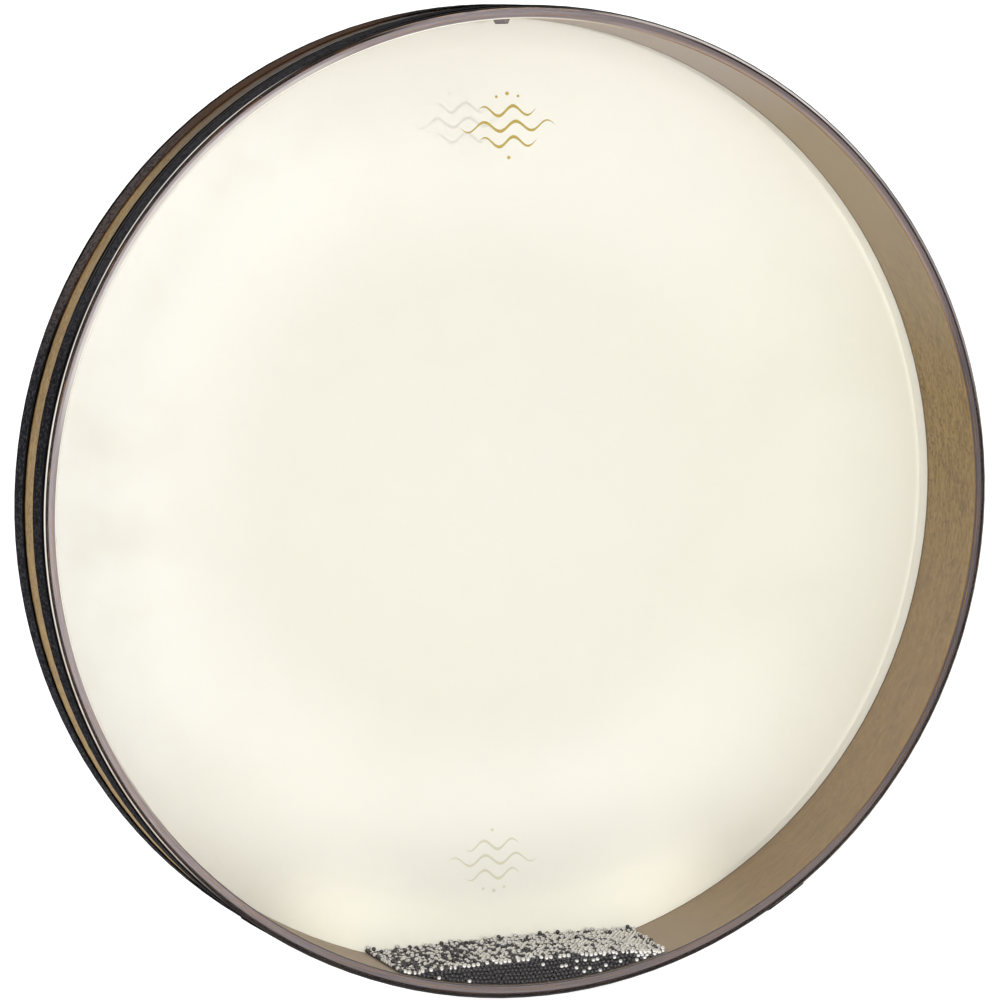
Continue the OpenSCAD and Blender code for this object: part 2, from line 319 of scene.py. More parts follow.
def black_tape():
    """Woven cloth tape: threads, blotches of glue and dust, and black long edges."""
    n = Nodes("black_tape").place()
    angle = n.math("ARCTAN2", n.z, n.x)
    threads = round(2 * math.pi * SHELL_R / THREAD)
    warp = n.math("SINE", n.times(angle, threads))
    weft = n.math("SINE", n.times(n.y, 2 * math.pi / THREAD))
    weave = n.times(warp, weft)
    cells = n.streaks(4.6, 1.8, 2.0, 0.6, 63.0)
    slubs = n.noise(n.point, 0.5, 3.0, 0.65)
    rub_and_sheen = n.streaks(4.0, 6.0, 3.0, 0.6, 61.0)
    color = n.mix(n.span(weave, -0.8, 0.9), "#161519", "#27262a")
    color = n.over(color, "#404046", n.span(cells, 0.48, 0.6), 0.85)
    color = n.over(color, "#070609", n.fall(cells, 0.38, 0.48), 0.9)
    color = n.over(color, "#121116", n.span(slubs, 0.54, 0.7), 0.5)
    # painted sheen makes the cloth paler at the upper left, and browner there on the back tape
    painted_tape_sheen = n.times(n.toward(133.0, 0.86, 0.97), n.span(rub_and_sheen, 0.25, 0.6, 0.55, 0.95))
    color = n.mix(painted_tape_sheen, color, n.mix(n.span(n.y, *HALVES), "#49484c", "#5f5450"))
    color = n.over(color, "#1f1e22", n.fall(cells, 0.4, 0.52), 0.6)
    brown = n.times(n.toward(113.0, 0.93, 0.985), n.span(n.y, *HALVES), n.span(rub_and_sheen, 0.25, 0.6, 0.6, 0.95))
    color = n.over(color, "#5c4433", brown)
    # it is darkest at the top, and the front tape is a little darker all round
    color = n.over(color, "#070608", n.toward(84.0, 0.93, 0.98), 0.85)
    color = n.over(color, "#0c0b0e", n.span(n.y, *HALVES, 0.32, 0.0))
    # both long edges are black, the one nearer the clear head over a wider strip; at the upper left the wider
    # strip lies along the other edge, split by a grey line on the front tape
    off_middle = n.math("SUBTRACT", n.y, n.times(n.math("SIGN", n.y), TAPE_MID))
    high_left = n.toward(128.0, 0.84, 0.95)
    near = n.times(n.fall(off_middle, -TAPE_HALF + 2.2, -TAPE_HALF + 4.2), n.between(high_left, 1.0, 0.1))
    start = n.span(n.y, *HALVES, TAPE_HALF - 8.6, TAPE_HALF - 4.6)
    strip = n.span(n.math("SUBTRACT", off_middle, start), -0.5, 0.5)
    far = n.math("MAXIMUM", n.span(off_middle, TAPE_HALF - 1.8, TAPE_HALF - 0.8), n.times(strip, high_left))
    color = n.over(color, "#040405", n.math("MAXIMUM", near, far))
    split = n.times(high_left, n.band(off_middle, TAPE_HALF - 6.2, TAPE_HALF - 5.0, 0.4),
                    n.fall(n.y, *HALVES))
    color = n.over(color, "#6b6664", split, 0.7)
    rough = n.span(rub_and_sheen, 0.3, 0.7, 0.75, 0.95)
    height = n.math("ADD", n.times(weave, 0.5), n.times(slubs, 0.8))
    return n.finish(n.principled(color=color, rough=rough, specular=0.015,
                                 normal=n.bump(height, 0.6, 0.0003)))


def clear_film():
    """Clear polyester: it lets nearly everything through and mirrors a little, more at a glancing angle."""
    n = Nodes("clear_film").place()
    facing = n.add("ShaderNodeLayerWeight", {"Blend": 0.5}).outputs["Facing"]
    mirror = n.math("ADD", n.times(n.math("POWER", facing, 5.0), 0.9), 0.012)
    ripple = n.noise(n.point, 0.012, 2.0, 0.5)
    rough = n.span(n.noise(n.point, 0.05, 3.0, 0.6), 0.3, 0.7, 0.04, 0.1)
    gloss = n.add("ShaderNodeBsdfGlossy", {"Color": (0.95, 0.96, 0.97, 1), "Roughness": rough,
                                           "Normal": n.bump(ripple, 0.05, 0.002)})
    through = n.add("ShaderNodeBsdfTransparent", {"Color": (0.99, 0.99, 0.985, 1)})
    return n.finish(n.add("ShaderNodeMixShader", {0: mirror, 1: through.outputs[0], 2: gloss.outputs[0]}))


def film_fold():
    """The film where it is bent over the hoop and glued down: a painted white highlight on the left, dark
    elsewhere.
    """
    n = Nodes("film_fold").place()
    creases = n.streaks(0.6, 22.0, 3.0, 0.6, 71.0)
    dashes = n.span(n.streaks(1.5, 12.0, 3.0, 0.65, 75.0), 0.42, 0.56)
    dark = n.mix(n.span(creases, 0.4, 0.65), "#0e0b0a", "#2c2420")
    # the crest of the bend carries a thin painted highlight, strongest on the left, and a grey painted sheen
    # at the upper right
    upper_left = n.toward(135.0, 0.82, 0.95)
    inner = n.math("SUBTRACT", n.r, n.times(upper_left, 0.25))
    crest = n.times(n.span(inner, BEND_R + 0.55, BEND_R + 0.75), n.fall(n.r, BEND_R + 1.2, BEND_R + 1.38))
    left_highlight = n.times(crest, n.toward(172.0, 0.54, 0.72))
    upper_right_sheen = n.times(n.span(n.r, BEND_R - 0.05, BEND_R + 0.1),
                          n.span(n.depth, HALF_DEPTH - 0.6, HALF_DEPTH - 0.25), n.toward(45.0, 0.76, 0.9),
                          n.span(creases, 0.3, 0.6, 0.8, 1.0))
    # a thin painted highlight runs along the bend at the right
    right = n.times(n.span(n.r, BEND_R + 0.1, BEND_R + 0.3),
                    n.band(n.depth, HALF_DEPTH - 0.65, HALF_DEPTH - 0.05, 0.1), n.toward(345.0, 0.6, 0.9),
                    n.between(dashes, 0.35, 0.8))
    top = n.times(n.band(n.r, BEND_R + 0.1, BEND_R + 0.55, 0.1), n.toward(85.0, 0.9, 0.98), dashes, 0.8)
    inner_top = n.times(n.toward(86.0, 0.93, 0.98), n.fall(n.r, BEND_R + 0.3, BEND_R + 0.6))
    dark = n.over(dark, "#857b7b", inner_top, 0.8)
    color = n.mix(upper_right_sheen, dark, n.mix(n.toward(62.0, 0.9, 0.99), "#918b8b", "#cfcac7"))
    color = n.over(color, "#cbbfae", right)
    color = n.over(color, "#b59c86", top)
    light = n.mix(n.span(creases, 0.35, 0.7), "#ded6cb", "#f6f0e8")
    light = n.over(light, "#a08c7a", n.toward(222.0, 0.7, 0.98), n.between(dashes, 0.75, 0.45))
    color = n.mix(left_highlight, color, light)
    return n.finish(n.principled(color=color, rough=0.4, specular=0.15, normal=n.bump(creases, 0.3, 0.0004)))


# the plain ornament, in mm about its middle
ORNAMENT = [  # the height, half width, wave length and phase (in radians) of each wave line
    (8.6, 17.0, 17.0, 0.4),
    (0.0, 28.0, 18.6, 0.0),
    (-8.6, 17.0, 17.0, 0.4),
]
WAVE_RISE = 2.7
WAVE_WIDTH = 1.9
WAVE_TAPER = 0.7  # how the lines thin out towards their ends
DOTS = [(-6.4, 16.6, 0.8), (0.0, 18.2, 1.1), (6.4, 16.6, 0.8), (0.0, -17.4, 1.0)]  # x, z and radius
FRONT_MARK = (-7.0, 213.2)  # x and z of its middle on the clear film and on the back head
BACK_MARK = (-4.2, -212.0)


def ornament_mask(n, centre, flip):
    """1 on the ornament of waves and dots, 0 off it; flip -1 turns it upside down."""
    u = n.math("SUBTRACT", n.x, centre[0])
    v = n.times(n.math("SUBTRACT", n.z, centre[1]), flip)
    total = None
    for height, half, wave_length, phase in ORNAMENT:
        turn = n.math("ADD", n.times(u, 2 * math.pi / wave_length), phase)
        crest = n.math("ADD", n.times(n.math("SINE", turn), WAVE_RISE), height)
        off = n.math("ABSOLUTE", n.math("SUBTRACT", v, crest))
        share = n.math("DIVIDE", u, half)
        room = n.math("MAXIMUM", n.math("SUBTRACT", 1.0, n.times(share, share)), 0.0)
        width = n.times(n.math("POWER", room, WAVE_TAPER), WAVE_WIDTH / 2)
        line = n.fall(n.math("SUBTRACT", off, width), -0.15, 0.05)
        total = line if total is None else n.math("MAXIMUM", total, line)
    for du, dv, size in DOTS:
        a, b = n.math("SUBTRACT", u, du), n.math("SUBTRACT", v, dv)
        far = n.math("SQRT", n.math("ADD", n.times(a, a), n.times(b, b)))
        total = n.math("MAXIMUM", total, n.fall(far, size - 0.1, size + 0.1))
    return total


def ivory_head():
    """A coated skin, thin enough for light from behind to come through it."""
    n = Nodes("ivory_head").place()
    cloud = n.noise(n.point, 0.010, 4.0, 0.6)
    haze = n.noise(n.point, 0.045, 4.0, 0.6)
    grit = n.noise(n.point, 1.1, 3.0, 0.6)
    # painted light: the skin is painted lighter towards the hoop, against the hoop's shade
    color = n.mix(n.span(n.r, 120.0, 270.0), "#dfddd4", "#f2f2ee")
    color = n.over(color, "#dedbd1", n.span(cloud, 0.45, 0.75), 0.5)
    color = n.over(color, "#e6e4db", n.span(haze, 0.5, 0.8), 0.3)
    color = n.over(color, "#dedacb", n.span(grit, 0.55, 0.75), 0.12)
    # painted light makes the left edge the palest, and towards the right the skin is a little darker and
    # yellower
    color = n.over(color, "#fffffc", n.toward(178.0, 0.3, 0.9), n.span(n.r, 225.0, 262.0, 0.0, 0.4))
    color = n.over(color, "#dfddd0", n.toward(0.0, 0.2, 1.0), n.span(n.r, 60.0, 240.0, 0.0, 0.65))
    # painted light lifts a band by the right wall against the wall's shade, with a faint painted shadow edge
    # within it
    color = n.over(color, "#fffef4", n.toward(0.0, 0.1, 0.7), n.span(n.r, 264.0, 270.0), 0.9)
    color = n.over(color, "#cfc8ba", n.toward(25.0, 0.5, 0.9), n.span(n.r, 267.2, 267.7), 0.08)
    color = n.over(color, "#e3e1da", n.toward(75.0, 0.6, 0.97), n.span(n.r, 120.0, 240.0, 0.0, 0.9))
    color = n.over(color, "#eae8e0", n.toward(270.0, 0.3, 0.9), n.span(n.r, 120.0, 220.0, 0.0, 0.9))
    # painted light lifts the skin above the heap
    color = n.over(color, "#fdfbee", n.toward(270.0, 0.8, 0.98), n.span(n.r, 225.0, 262.0, 0.0, 0.9))
    # the outside, which lies in brighter light, is painted a little deeper ivory as painted shade against
    # that light
    outside = n.span(n.y, FILM_INSIDE + 0.06, FILM_INSIDE + 0.16)
    color = n.over(color, "#d9d4c3", outside, 0.85)
    mark = ornament_mask(n, BACK_MARK, -1.0)
    color = n.mix(n.times(mark, n.between(outside, 0.75, 1.0)), color, n.mix(outside, "#cfcab0", "#a8913a"))
    rough = n.span(haze, 0.3, 0.7, 0.5, 0.62)
    # a painted glow lights the skin just above the heap, where the hoop keeps off the light from the front
    painted_glow_above_heap = n.times(n.toward(270.0, 0.82, 0.96), n.span(n.r, 205.0, 262.0), n.between(outside, 1.0, 0.0))
    glow = n.mix(painted_glow_above_heap, "#000000", "#fff9e6")
    return n.finish(n.principled(color=color, rough=rough, specular=0.2, subsurface=0.45, sub_scale=0.0003,
                                 sub_radius=(1.0, 1.0, 0.9), glow=glow, glow_strength=0.25,
                                 normal=n.bump(grit, 0.12, 0.0003)))


def head_fold():
    """The ivory skin where it is turned down over the hoop."""
    n = Nodes("ivory_fold").place()
    creases = n.streaks(0.8, 26.0, 3.0, 0.6, 81.0)
    color = n.mix(n.span(creases, 0.35, 0.7), "#d9d4c0", "#ebe7d6")
    return n.finish(n.principled(color=color, rough=0.5, normal=n.bump(creases, 0.3, 0.0004)))


def gold_ink():
    n = Nodes("gold_ink").place()
    fleck = n.noise(n.point, 1.6, 4.0, 0.65)
    color = n.mix(n.span(fleck, 0.35, 0.7), "#8f7a26", "#b9a347")
    return n.finish(n.principled(color=color, rough=n.span(fleck, 0.3, 0.7, 0.35, 0.55), metal=0.35))


def dark_steel():
    n = Nodes("dark_steel").place()
    tone = n.noise(n.point, 0.42, 2.0, 0.5)
    film = n.noise(n.point, 2.2, 2.0, 0.5)
    color = n.mix(n.span(tone, 0.35, 0.65), "#2b272a", "#464145")
    # each ball has a painted highlight on its open side and painted shade down between the balls
    color = n.over(color, "#756f73", n.span(n.openness(), 0.86, 0.97, 0.0, 0.7))
    color = n.mix(n.span(n.openness(), 0.4, 0.9), "#060506", color)
    rough = n.span(film, 0.3, 0.7, 0.32, 0.44)
    return n.finish(n.principled(color=color, metal=0.3, rough=rough, specular=0.3, tint=(0.5, 0.49, 0.5, 1)))


def steel_in_painted_shade():
    """The deep of the heap, painted all but black as the shade between the balls that show."""
    n = Nodes("steel_in_painted_shade").place()
    grain = n.noise(n.point, 0.5, 2.0, 0.5)
    color = n.mix(n.span(grain, 0.35, 0.65), "#0c0b0c", "#1e1c1e")
    return n.finish(n.principled(color=color, rough=n.span(grain, 0.3, 0.7, 0.6, 0.8), specular=0.1))


def bright_steel():
    n = Nodes("bright_steel").place()
    tone = n.noise(n.point, 0.38, 2.0, 0.5)
    film = n.noise(n.point, 2.0, 2.0, 0.5)
    color = n.mix(n.span(tone, 0.35, 0.65), "#f6f3ec", "#fffefb")
    # painted shade lies where the balls touch, and a painted reflection makes the middle of the open side a
    # little darker
    color = n.mix(n.span(n.openness(), 0.34, 0.74), "#3a3230", color)
    color = n.over(color, "#b3a49c", n.span(n.openness(), 0.93, 0.98, 0.0, 0.6))
    rough = n.span(film, 0.3, 0.7, 0.16, 0.28)
    return n.finish(n.principled(color=color, metal=0.35, rough=rough))


def new_piece(name, vertices, faces, material, body, smooth=False):
    """A mesh in metres that moves with this body."""
    mesh = bpy.data.meshes.new(name)
    mesh.from_pydata([tuple(v) for v in vertices], [], [tuple(f) for f in faces])
    mesh.polygons.foreach_set("use_smooth", [smooth] * len(mesh.polygons))
    mesh.update()
    made = bpy.data.objects.new(name, mesh)
    bpy.context.scene.collection.objects.link(made)
    mesh.materials.append(material)
    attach(made, body)
    return made


def wear(name, material):
    """Gives a CAD node this material in place of its own."""
    slots = node[name].data.materials
    slots.clear()
    slots.append(material)


# ---- the hoop, the heads and the tapes keep their CAD shapes ----
ivory, ivory_fold = ivory_head(), head_fold()
film, fold = clear_film(), film_fold()
tape = black_tape()
wear("shell_outer_ply", outer_wood())
wear("shell_core_ply", core_wood())
wear("shell_inner_ply", inner_wood())
wear("filler_plug", plug_wood())
wear("front_tape", tape)
wear("back_tape", tape)
wear("front_head", film)
wear("back_head", ivory)


# ---- the heads' bent edges, turned finely so that the light runs round them without steps ----
CREASE = 35  # edges of the rings that turn by more degrees than this stay sharp


def turned(name, profile, material, stands_for, segments=720):
    """A ring with this closed profile of (radius, y) in mm about the drum's axis, in place of a CAD node."""
    vertices, faces, count = [], [], len(profile)
    for i in range(segments):
        a = 2 * math.pi * i / segments
        vertices += [(r * math.cos(a) * MM, y * MM, r * math.sin(a) * MM) for r, y in profile]
    for i in range(segments):
        j = (i + 1) % segments
        for k in range(count):
            m = (k + 1) % count
            faces.append((i * count + k, j * count + k, j * count + m, i * count + m))
    made = new_piece(name, vertices, faces, material, "drum", smooth=True)
    made.data.set_sharp_from_angle(angle=math.radians(CREASE))
    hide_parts(stands_for)


def bent_edge(side):
    """A head's edge, round the hoop's rim and down its outside; side is -1 in front, 1 at the back."""
    profile = []
    for radius, angles in ((BEND_OUT, range(90, -1, -9)), (BEND_IN, range(0, 91, 9))):
        arc = [(BEND_R + radius * math.cos(math.radians(a)), BEND_Y + radius * math.sin(math.radians(a)))
               for a in angles]
        low = (BEND_R + radius, COLLAR_END)
        profile += arc + [low] if radius == BEND_OUT else [low] + arc
    profile = [(r, side * y) for r, y in profile]
    return profile if side > 0 else profile[::-1]


turned("front_fold", bent_edge(-1), fold, "front_head_collar")
turned("back_fold", bent_edge(1), ivory_fold, "back_head_collar")


# ---- the printed ornament behind the clear film ----
PRINT_FRONT = -FILM_INSIDE + 0.10  # the y of the print's faces, in mm: clear of the film, and thin
PRINT_BACK = -FILM_INSIDE + 0.16
WAVE_STEPS = 48
DOT_STEPS = 24


def wave_plates(centre, back, front):
    """Closed thin plates for the waves and dots, from y = back to y = front, in mm."""
    vertices, faces = [], []

    def plate(outline):
        first, count = len(vertices), len(outline)
        for y in (front, back):
            vertices.extend((x * MM, y * MM, z * MM) for x, z in outline)
        faces.append([first + i for i in range(count)])
        faces.append([first + count + i for i in reversed(range(count))])
        for i in range(count):
            j = (i + 1) % count
            faces.append([first + j, first + i, first + count + i, first + count + j])

    for height, half, wave_length, phase in ORNAMENT:
        tops, bottoms = [], []
        for i in range(WAVE_STEPS + 1):
            share = -math.cos(math.pi * i / WAVE_STEPS)
            u = share * half
            crest = height + WAVE_RISE * math.sin(2 * math.pi * u / wave_length + phase)
            width = WAVE_WIDTH / 2 * max(1 - share * share, 0.0) ** WAVE_TAPER
            tops.append((centre[0] + u, centre[1] + crest + width))
            bottoms.append((centre[0] + u, centre[1] + crest - width))
        plate(bottoms + tops[-2:0:-1])
    for du, dv, size in DOTS:
        plate([(centre[0] + du + size * math.cos(a), centre[1] + dv + size * math.sin(a))
               for a in np.linspace(0, 2 * math.pi, DOT_STEPS + 1)[:-1]])
    return vertices, faces


v, f = wave_plates(FRONT_MARK, PRINT_BACK, PRINT_FRONT)
new_piece("front_print", v, f, gold_ink(), "drum")


# ---- the loose shot: all places are in mm ----
rng = np.random.default_rng(22)


def ball_shape(segments, rings):
    """A ball of radius 1 with this many rings of triangles between its poles."""
    points = [(0.0, 0.0, 1.0)]
    for i in range(1, rings):
        lat = math.pi * i / rings
        for j in range(segments):
            lon = 2 * math.pi * (j + 0.5 * (i % 2)) / segments
            points.append((math.sin(lat) * math.cos(lon), math.sin(lat) * math.sin(lon), math.cos(lat)))
    points.append((0.0, 0.0, -1.0))
    last = len(points) - 1
    triangles = []
    for j in range(segments):
        k = (j + 1) % segments
        triangles.append((0, 1 + j, 1 + k))
        base = 1 + (rings - 2) * segments
        triangles.append((last, base + k, base + j))
    for i in range(rings - 2):
        a, b = 1 + i * segments, 1 + (i + 1) * segments
        for j in range(segments):
            k = (j + 1) % segments
            if i % 2:
                triangles += [(a + j, b + j, a + k), (a + k, b + j, b + k)]
            else:
                triangles += [(a + j, b + j, b + k), (a + j, b + k, a + k)]
    return np.array(points), np.array(triangles)


def balls(centres, radius, segments, rings):
    """Many balls as one set of vertices and triangles, in metres, each turned a little differently."""
    shape, triangles = ball_shape(segments, rings)
    turns = rng.uniform(0, 2 * math.pi, (len(centres), 2))
    c, s = np.cos(turns), np.sin(turns)
    x = shape[:, 0] * c[:, :1] - shape[:, 1] * s[:, :1]
    y = shape[:, 0] * s[:, :1] + shape[:, 1] * c[:, :1]
    z = np.broadcast_to(shape[:, 2], x.shape)
    y, z = y * c[:, 1:] - z * s[:, 1:], y * s[:, 1:] + z * c[:, 1:]
    at = np.stack([x, y, z], 2) * radius + centres[:, None, :]
    ids = triangles[None] + (np.arange(len(centres)) * len(shape))[:, None, None]
    return at.reshape(-1, 3) * MM, ids.reshape(-1, 3)


def together(*sets):
    """Several sets of vertices and faces as one."""
    vertices, faces, first = [], [], 0
    for v, f in sets:
        vertices.append(np.asarray(v))
        faces += [tuple(int(i) + first for i in face) for face in f]
        first += len(v)
    return np.vstack(vertices), faces


PUSH = 0.35  # the share of an overlap that each of two points gives way in a round


def spread(points, pitch, inside, rounds):
    """Pushes points apart until none is much closer than pitch; inside puts strays back."""
    for _ in range(rounds):
        gap = points[:, None, :] - points[None, :, :]
        far = np.sqrt((gap ** 2).sum(2)) + 1e-9
        np.fill_diagonal(far, 1e9)
        push = np.clip(pitch - far, 0, None) / far
        points = inside(points + PUSH * (gap * push[:, :, None]).sum(1))
    return points


DIP = 1.6  # how far the heap's top sinks by the clear head at its right end, from DIP_START over DIP_RUN
DIP_START = 50.0
DIP_RUN = 30.0


def top_at(x, y):
    """The height of the heap's top: a low crown that dips at the right end near the clear head."""
    front_share = (HEAP_HALF - y) / (2 * HEAP_HALF)
    dip = DIP * np.clip((x - DIP_START) / DIP_RUN, 0, 1) * front_share
    return HEAP_TOP - HEAP_CROWN * (x / HEAP_END) ** 2 - dip


def hex_grid(x0, x1, y0, y1, pitch):
    """Points this far apart in rows, each row shifted by half a step against the last."""
    rows = []
    for i, y in enumerate(np.arange(y0, y1 + 0.01, pitch * math.sin(math.pi / 3))):
        x = np.arange(x0 + pitch / 2 * (i % 2), x1 + 0.01, pitch)
        rows.append(np.stack([x, np.full_like(x, y)], 1))
    return np.vstack(rows)


LEFT_END = -HEAP_END + 1  # the ends of the balls' middles; the right one leans by END_LEAN either way
RIGHT_END = 76.5
END_LEAN = 2.0
SLACK = 1.2  # points of a grid that lie this far outside the heap are kept and pushed into it
END_SLACK = 0.8


def right_end(y):
    """How far to the right the balls reach: less by the clear head than at the back."""
    return RIGHT_END + END_LEAN * y / HEAP_HALF


def above_bore(x, z, limit):
    """Lifts z where (x, z) lies outside the circle, so that a ball rests on the hoop."""
    return np.maximum(z, -np.sqrt(limit ** 2 - x ** 2))


# the layer that leans on the clear film
FRONT_Y = -HEAP_HALF + DARK_D / 2
FRONT_WALL = HEAP_R - DARK_D / 2
FRONT_HALF = 84  # half the width of the grid that it starts from


def in_front_layer(p):
    x = np.clip(p[:, 0], LEFT_END, right_end(FRONT_Y))
    z = above_bore(x, np.minimum(p[:, 1], top_at(x, FRONT_Y) - DARK_D / 2), FRONT_WALL)
    return np.stack([x, z], 1)


front = hex_grid(-FRONT_HALF, FRONT_HALF, -FRONT_WALL, HEAP_TOP - DARK_D / 2, DARK_D + 0.03)
front = front[front[:, 1] < top_at(front[:, 0], FRONT_Y) - DARK_D / 2 + SLACK]
front = front[(front ** 2).sum(1) < (FRONT_WALL + SLACK) ** 2]
front = front[front[:, 0] < right_end(FRONT_Y) + END_SLACK]
front = spread(front + rng.normal(0, 0.22, front.shape), DARK_D + 0.02, in_front_layer, 60)
front_y = np.full(len(front), FRONT_Y) + rng.uniform(0, 0.25, len(front))
front = np.stack([front[:, 0], front_y, front[:, 1]], 1)

# single bright balls that lie against the clear head, as x and z
STRAYS = [(-60.3, -264.8), (-42.6, -268.8), (1.9, -263.6), (13.1, -263.5), (16.5, -264.1), (22.1, -264.9),
          (26.4, -267.6), (29.0, -265.9), (35.9, -267.6), (40.8, -265.5), (31.9, -261.4), (35.4, -261.1),
          (23.5, -262.0), (26.3, -261.8), (45.1, -262.9), (48.8, -264.9), (59.0, -265.3), (62.8, -265.5),
          (65.7, -263.8), (69.5, -263.5)]

# the layer on top of the heap, and a second one under it
TOP_WALL = HEAP_R - BRIGHT_D / 2
TOP_HALF = HEAP_HALF - BRIGHT_D / 2


def in_top_layer(p):
    y = np.clip(p[:, 1], -TOP_HALF, TOP_HALF)
    return np.stack([np.clip(p[:, 0], LEFT_END, right_end(y)), y], 1)


def top_layer(drop, pitch, rounds):
    """A layer of balls whose tops lie this far under the heap's top, shuffled for this many rounds."""
    p = hex_grid(LEFT_END, -LEFT_END, -TOP_HALF, TOP_HALF, pitch)
    p = p[p[:, 0] < right_end(p[:, 1]) + END_SLACK]
    p = spread(in_top_layer(p + rng.normal(0, 0.5, p.shape)), pitch * 0.97, in_top_layer, rounds)
    z = top_at(p[:, 0], p[:, 1]) - BRIGHT_D / 2 - drop + rng.normal(0, 0.3, len(p))
    return np.stack([p[:, 0], p[:, 1], above_bore(p[:, 0], z, TOP_WALL)], 1)


top = top_layer(0.2, 2.72, 30)
under = top_layer(1.9, 2.7, 6)


# the directions to the right and upward as seen from the front left
SEEN_RIGHT = np.array([0.946, -0.324, 0.0])
SEEN_UP = np.array([0.036, 0.105, 0.994])
SINGLE_GAP = 0.88 * BRIGHT_D


def seen_apart(p, gap):
    """Picks points, in random order, that lie at least this far apart as seen from the front left."""
    flat = np.stack([p @ SEEN_RIGHT, p @ SEEN_UP], 1)
    kept = []
    for i in rng.permutation(len(p)):
        if not kept or ((flat[kept] - flat[i]) ** 2).sum(1).min() > gap ** 2:
            kept.append(i)
    return p[kept]


# single balls that lie in the hollows of the top layer
loose = top + np.stack([rng.uniform(0.9, 1.5, len(top)), rng.uniform(-1.2, 1.2, len(top)),
                        rng.uniform(1.2, 1.8, len(top))], 1)
loose = seen_apart(loose, SINGLE_GAP)
loose[:, 1] = np.clip(loose[:, 1], -TOP_HALF, TOP_HALF)
loose[:, 0] = np.minimum(loose[:, 0], right_end(loose[:, 1]))
loose[:, 2] = above_bore(loose[:, 0], loose[:, 2], TOP_WALL)


def patches(p, size, count, seed):
    """A smooth random field over x and y, about -1 to 1, for clusters of one kind of shot."""
    draw = np.random.default_rng(seed)
    total = np.zeros(len(p))
    for _ in range(count):
        k = draw.normal(0, 2 * math.pi / size, 2)
        total += np.sin(p[:, 0] * k[0] + p[:, 1] * k[1] + draw.uniform(0, 2 * math.pi))
    return total / math.sqrt(count)


MIX_START = -20  # the share of bright balls rises from here on, over MIX_RUN
MIX_RUN = 85


def pick_bright(p, low, high):
    """Which balls of a top layer are bright: these shares of them at the left and right end, in patches."""
    share = low + (high - low) * np.clip((p[:, 0] - MIX_START) / MIX_RUN, 0, 1) ** 1.2
    return rng.random(len(p)) < np.clip(share + 0.3 * patches(p, 16.0, 12, 5), 0.03, 0.97)


REACH_X = [-84, -70, -30, 20, 50, 66, 84]  # how far down from the top bright balls lie against the film
REACH = [3.0, 0.4, 0.2, 0.3, 2.5, 5.0, 14.0]
BRIGHT_TIP = 70  # from here on to the right nearly all of them are bright


def front_bright(p):
    """On the film side bright balls lie only near the top, through the right end, and singly."""
    below = top_at(p[:, 0], FRONT_Y) - DARK_D / 2 - p[:, 2]
    reach = np.interp(p[:, 0], REACH_X, REACH)
    chosen = rng.random(len(p)) < np.where(p[:, 0] > BRIGHT_TIP, 0.85, np.where(below < reach, 0.5, 0.0))
    for x, z in STRAYS:
        chosen[np.argmin((p[:, 0] - x) ** 2 + (p[:, 2] - z) ** 2)] = True
    return chosen


top_is_bright = pick_bright(top, 0.44, 0.97)
loose_is_bright = pick_bright(loose, 0.5, 0.95)
front_is_bright = front_bright(front)
dark_top = np.vstack([top[~top_is_bright], loose[~loose_is_bright]])
bright_top = np.vstack([top[top_is_bright], loose[loose_is_bright]])
all_bright = np.vstack([front[front_is_bright], bright_top])
print("balls:", len(front), len(top), len(under), len(loose), "bright", len(all_bright))

# the segments and rings of a ball in each place
FRONT_FORM, TOP_FORM, BRIGHT_FORM, UNDER_FORM = (14, 9), (10, 7), (12, 8), (8, 6)

steel, bright = dark_steel(), bright_steel()
v, f = together(balls(front[~front_is_bright], DARK_D / 2, *FRONT_FORM),
                balls(dark_top, DARK_D / 2, *TOP_FORM))
dark_piece = new_piece("shot_dark", v, f, steel, "shot_heap", smooth=True)
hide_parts("dark_shot")
v, f = together(balls(all_bright, BRIGHT_D / 2, *BRIGHT_FORM))
bright_piece = new_piece("shot_bright", v, f, bright, "shot_heap", smooth=True)
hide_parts("bright_shot")


BED_HALF = 74.0


def bed(radius, front_y, back_y, drop, steps=40):
    """The solid mass of shot under the layers of balls: a block with a round bottom and a crowned top."""
    vertices, faces = [], []
    for y in (front_y, back_y):
        for i in range(steps + 1):
            x = BED_HALF * (2 * i / steps - 1)
            vertices.append((x * MM, y * MM, -math.sqrt(radius ** 2 - x ** 2) * MM))
        for i in range(1, steps):
            x = BED_HALF * (1 - 2 * i / steps)
            z = max(top_at(x, y) - drop, -math.sqrt(radius ** 2 - x ** 2) + 0.05)
            vertices.append((x * MM, y * MM, z * MM))
    count = 2 * steps
    faces.append(list(range(count)))
    faces.append([count + i for i in reversed(range(count))])
    for i in range(count):
        j = (i + 1) % count
        faces.append([j, i, count + i, count + j])
    return np.array(vertices), faces


v, f = balls(under, DARK_D / 2, *UNDER_FORM)
new_piece("shot_under", v, f.tolist(), steel, "shot_heap", smooth=True)
v, f = bed(HEAP_R - 0.3, FRONT_Y + 1.0, HEAP_HALF - 0.1, drop=3.4)
core_piece = new_piece("shot_core", v, f, steel_in_painted_shade(), "shot_heap")
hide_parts("shot_bed")


# ---- the stage: a pale floor that curves up into a backdrop, in metres ----
FLOOR_Z = -0.2805  # just under the lower tape edges
FLOOR_FRONT = -12.0
BACKDROP_FOOT = 5.0  # where the floor starts to curve up, and the curve's radius
BACKDROP_CURVE = 3.0
BACKDROP_STEPS = 12
BACKDROP_TOP = 13.5
STAGE_HALF = 16.0


